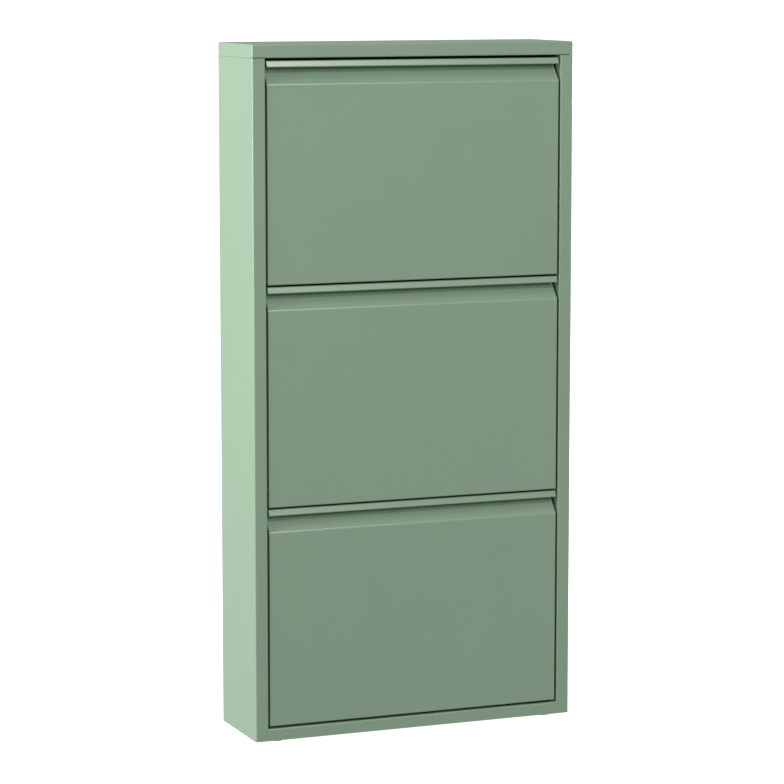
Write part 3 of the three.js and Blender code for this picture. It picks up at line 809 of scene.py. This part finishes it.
def stop_slot(pivot, stud):
    """The slot that the stop stud runs in, from where it is when the flap is shut."""
    reach = Vector((stud.y - pivot.y, stud.z - pivot.z))
    play = (SLOT_HALF_WIDTH - SLEEVE_RADIUS - GAP) / reach.length
    shut = math.atan2(reach.y, reach.x) - play
    opened = math.atan2(reach.y, reach.x) - STOP_SWING + play
    centre = (pivot.y, pivot.z)

    def end(angle):
        return (
            centre[0] + reach.length * math.cos(angle),
            centre[1] + reach.length * math.sin(angle),
        )

    half_round = 2 * BEND_STEPS
    return (
        arc(centre, reach.length + SLOT_HALF_WIDTH, opened, shut, SLOT_STEPS)
        + arc(end(shut), SLOT_HALF_WIDTH, shut, shut + math.pi, half_round)[1:-1]
        + arc(centre, reach.length - SLOT_HALF_WIDTH, shut, opened, SLOT_STEPS)
        + arc(end(opened), SLOT_HALF_WIDTH, opened - math.pi, opened, half_round)[1:-1]
    )


def bezier(a, b, c, d, steps):
    """Points on a cubic Bezier curve, its start left out."""
    points = []
    for k in range(1, steps + 1):
        t = k / steps
        s = 1 - t
        weights = (s**3, 3 * s * s * t, 3 * s * t * t, t**3)
        points.append(tuple(sum(w * p[i] for w, p in zip(weights, (a, b, c, d))) for i in (0, 1)))
    return points


def cheeks(level):
    """The two cheeks of a flap: flat plates with a rear edge that leans forward to a narrow top."""
    flap_low, _ = extents(f"{level}_flap_front")
    front = flap_low.y + SHEET + GAP
    low_edge = SHEET + GAP
    heel = (CHEEK_REAR - CHEEK_HEEL, low_edge + CHEEK_HEEL)
    shoulder = (CHEEK_REAR, CHEEK_SHOULDER)
    brow = (CHEEK_TIP + 14, CHEEK_TOP - 6)
    tip = (CHEEK_TIP, CHEEK_TOP)
    outline = [
        (front, low_edge + BEND),
        (front + BEND, low_edge),
        *arc(heel, CHEEK_HEEL, -math.pi / 2, 0, steps=12),
        shoulder,
        *bezier(shoulder, (CHEEK_REAR, 185), (5, 235), brow, steps=28),
        *bezier(brow, (CHEEK_TIP + 10, CHEEK_TOP - 2), (CHEEK_TIP + 7, CHEEK_TOP), tip, steps=8),
        (front, CHEEK_TOP),
    ]
    outline = [(y, z + flap_low.z) for y, z in outline]
    pivot = middle(f"{level}_right_pivot_pin")
    stud = middle(f"{level}_right_stop_stud")
    rod = middle(f"{level}_retaining_rod")
    holes = [
        stop_slot(pivot, stud),
        circle((pivot.y, pivot.z), PIN_HOLE),
        circle((rod.y, rod.z), ROD_HOLE),
    ]
    for side in SIDES:
        node = f"{level}_{side}_cheek"
        low, high = extents(node)
        plate = prism(outline, "yz", low.x, high.x, holes)
        finish_piece(node, object_of(plate, node), PAINT)


def toe_tray(level):
    """The tray that the shoes stand in: front lip, floor and rear wall, with tabs at its ends."""
    node = f"{level}_toe_tray"
    low, high = extents(node)
    foot = extents(f"{level}_flap_front")[0].z
    front = low.y + SHEET
    outline = folded(
        [
            (front, TRAY_FLOOR + TRAY_LIP),
            (front, TRAY_FLOOR),
            (TRAY_REAR, TRAY_FLOOR),
            (TRAY_REAR, TRAY_WALL),
            (TRAY_REAR - TRAY_FOLD, TRAY_WALL),
        ]
    )
    inner = TRAY_REAR - TRAY_TAB
    above = TRAY_FLOOR + TRAY_TAB
    top = TRAY_WALL - TAB_TOP
    ear = [(TRAY_REAR, top - 1), (TRAY_REAR - 6, top - 1), (inner, top - 4), (inner, top - 12)]
    corner = (inner - TAB_CORNER, above + TAB_CORNER)
    tab = [
        (front, TRAY_FLOOR - SHEET / 2),
        (TRAY_REAR + SHEET / 2, TRAY_FLOOR - SHEET / 2),
        (TRAY_REAR + SHEET / 2, top),
        *bezier(*ear, steps=8),
        *arc(corner, TAB_CORNER, 0, -math.pi / 2, steps=8),
        (front, above),
    ]
    piece = object_of(raised(prism(outline, "yz", low.x, high.x), foot), node)
    for x0, x1 in ((low.x, low.x + SHEET), (high.x - SHEET, high.x)):
        combine(piece, raised(prism(tab, "yz", x0, x1), foot), "UNION")
    finish_piece(node, piece, PAINT)


def retaining_rod(level):
    """The rod between the cheeks: a collar inside each of them and a peened head outside it."""
    node = f"{level}_retaining_rod"
    low, high = extents(node)
    at = middle(node)
    cheek_low, cheek_high = extents(f"{level}_right_cheek")
    collar = cheek_low.x - GAP
    head = cheek_high.x + GAP
    half = [
        (collar - COLLAR_WIDTH, ROD_RADIUS),
        (collar - COLLAR_WIDTH, ROD_COLLAR),
        (collar, ROD_COLLAR),
        (collar, ROD_RADIUS),
        (head, ROD_RADIUS),
        (head, ROD_HEAD),
        (head + PEEN / 2, ROD_HEAD - 0.2),
        (head + PEEN, ROD_HEAD - 1.1),
        (head + PEEN, 0),
    ]
    profile = [(-x, radius) for x, radius in reversed(half)] + half
    rod = object_of(turned(profile, (0, at.y, at.z)), node)
    finish_piece(node, rod, ZINC, edge=0.15)


def pair(level, part, profile, material, edge=0.12):
    """The right and left ones of a turned piece beside a flap."""
    for side in SIDES:
        node = f"{level}_{side}_{part}"
        at = middle(node)
        made = turned(profile, (0, at.y, at.z))
        piece = object_of(made if side == "right" else mirrored(made), node)
        finish_piece(node, piece, material, edge)


def pivots_and_stops(level):
    """Pins, bushes, studs and sleeves, all turned about axes along x."""
    cheek_low, cheek_high = extents(f"{level}_right_cheek")
    head = cheek_low.x - GAP
    head_top = head - PIN_HEAD_HEIGHT
    bush_end = OPENING + BUSH_TAIL
    peen = bush_end + GAP
    pin = [
        (head_top + 0.3, 0),
        (head_top, 1.2),
        (head_top, PIN_HEAD - 1.3),
        (head_top + 0.6, PIN_HEAD - 0.2),
        (head, PIN_HEAD),
        (head, PIN_RADIUS),
        (peen, PIN_RADIUS),
        (peen, PIN_TIP),
        (peen + 0.8, PIN_TIP - 0.2),
        (peen + PIN_TIP_HEIGHT, 1.6),
        (peen + PIN_TIP_HEIGHT, 0),
    ]
    pair(level, "pivot_pin", pin, ZINC)
    seat = OPENING - GAP
    flange = seat - BUSH_FLANGE_DEPTH
    chamfer = 0.4
    bush = [
        (flange, BUSH_BORE),
        (flange, BUSH_FLANGE - chamfer),
        (flange + chamfer, BUSH_FLANGE),
        (seat, BUSH_FLANGE),
        (seat, BUSH_RADIUS),
        (bush_end - chamfer, BUSH_RADIUS),
        (bush_end, BUSH_RADIUS - chamfer),
        (bush_end, BUSH_BORE),
    ]
    pair(level, "bush", bush, NYLON)
    sleeve_in = cheek_low.x - SLEEVE_INSIDE
    sleeve_out = cheek_high.x + SLEEVE_OUTSIDE
    wall = SIDE - SHEET - GAP
    neck = sleeve_in - GAP
    stud_top = neck - STUD_HEAD_HEIGHT
    stud = [
        (stud_top + 0.2, 0),
        (stud_top, 1.0),
        (stud_top, STUD_HEAD - 0.8),
        (stud_top + 0.5, STUD_HEAD),
        (neck, STUD_HEAD),
        (neck, STUD_RADIUS),
        (sleeve_out + GAP, STUD_RADIUS),
        (sleeve_out + GAP, STUD_HEAD),
        (wall - STUD_PLATE, STUD_HEAD),
        (wall - STUD_PLATE, STUD_BASE),
        (wall, STUD_BASE),
        (wall, 0),
    ]
    pair(level, "stop_stud", stud, ZINC)
    sleeve = [
        (sleeve_in, SLEEVE_BORE),
        (sleeve_in, SLEEVE_RADIUS - SLEEVE_CHAMFER),
        (sleeve_in + SLEEVE_CHAMFER, SLEEVE_RADIUS),
        (sleeve_out - SLEEVE_CHAMFER, SLEEVE_RADIUS),
        (sleeve_out, SLEEVE_RADIUS - SLEEVE_CHAMFER),
        (sleeve_out, SLEEVE_BORE),
    ]
    pair(level, "stop_sleeve", sleeve, RUBBER)


# ---------------------------------------------------------------------------------------------
# Floor, light and camera
# ---------------------------------------------------------------------------------------------

# In metres
BACKDROP = 30  # from the cabinet to where the floor starts to rise
BACKDROP_CURVE = 4  # radius of the rise
BACKDROP_TOP = 14
EYE = Vector((-1.79, -4.388, 1.145))
YAW = math.radians(22.11)
PITCH = math.radians(-7.71)
FARTHEST = 500  # how far the camera sees
LENS = 145.3  # in millimetres, like the sensor's width
SENSOR = 36


def floor():
    """A plain pale floor that curves up into a low backdrop far away, all round."""
    rise = arc((BACKDROP, BACKDROP_CURVE), BACKDROP_CURVE, -math.pi / 2, 0, BEND_STEPS)
    profile = [*rise, (BACKDROP + BACKDROP_CURVE, BACKDROP_TOP)]
    made = bmesh.new()
    rings = [[made.verts.new((r * x, r * y, z)) for x, y in circle((0, 0), 1)] for r, z in profile]
    made.faces.new(rings[0])
    for here, there in zip(rings, rings[1:]):
        for k in range(ROUND):
            j = (k + 1) % ROUND
            made.faces.new((here[k], here[j], there[j], there[k]))
    mesh = bpy.data.meshes.new("floor")
    made.to_mesh(mesh)
    made.free()
    ground = bpy.data.objects.new("floor", mesh)
    bpy.context.scene.collection.objects.link(ground)
    ground.visible_diffuse = False
    ground.visible_glossy = False
    pale = Material("pale_floor", (0.6, 0.6, 0.6), 0.9)
    pale.shader.inputs["Specular IOR Level"].default_value = 0.0
    pale.shader.inputs["Emission Color"].default_value = (1, 1, 1, 1)
    pale.shader.inputs["Emission Strength"].default_value = 1.0
    pale.material.cycles.emission_sampling = "NONE"
    pale.colour(pale.mix(pale.noise(600, 2), (0.59, 0.59, 0.59), (0.61, 0.61, 0.61)))
    mesh.materials.append(pale.material)


def aim(thing, target):
    direction = Vector(target) - thing.location
    thing.rotation_mode = "QUATERNION"
    thing.rotation_quaternion = direction.to_track_quat("-Z", "Y")


def softbox(name, location, height_lit, size, watts):
    """A soft light, unseen itself, that faces the cabinet's middle line at the height given."""
    light = bpy.data.lights.new(name, "AREA")
    light.shape = "RECTANGLE"
    light.size, light.size_y = size
    light.energy = watts
    box = bpy.data.objects.new(name, light)
    bpy.context.scene.collection.objects.link(box)
    box.location = location
    box.visible_camera = False
    aim(box, (0, 0, height_lit))


def lighting():
    """Four softboxes, the lip light for the sheen on the lips, and an even white surround."""
    world = bpy.data.worlds.new("studio")
    bpy.context.scene.world = world
    world.use_nodes = True
    background = world.node_tree.nodes["Background"]
    background.inputs["Color"].default_value = (1, 1, 1, 1)
    background.inputs["Strength"].default_value = 0.3
    softbox("side_key", (-3.2, 0.25, 1.5), height_lit=0.6, size=(2.2, 2.2), watts=153)
    softbox("front_fill", (0.4, -4.9, 2.3), height_lit=0.6, size=(1.2, 1.2), watts=58)
    softbox("lip_light", (1.12, -4.4, 3.85), height_lit=0.9, size=(1.1, 0.5), watts=56)
    softbox("rear_fill", (3.7, 2.6, 1.8), height_lit=0.6, size=(2.0, 2.2), watts=190)
    bpy.context.scene.view_settings.view_transform = "Standard"


def camera():
    """The camera, at the photo's angle."""
    data = bpy.data.cameras.new("camera")
    data.sensor_width = SENSOR
    data.lens = LENS
    data.clip_end = FARTHEST
    eye = bpy.data.objects.new("camera", data)
    bpy.context.scene.collection.objects.link(eye)
    eye.location = EYE
    across = math.cos(PITCH)
    ahead = Vector((math.sin(YAW) * across, math.cos(YAW) * across, math.sin(PITCH)))
    aim(eye, eye.location + ahead)
    bpy.context.scene.camera = eye


side_panels()
top_cap()
bottom_panel()
back_panel()
feet()
back_screws()
for name in LEVELS:
    flap_front(name)
    cheeks(name)
    toe_tray(name)
    retaining_rod(name)
    pivots_and_stops(name)
floor()
lighting()
camera()
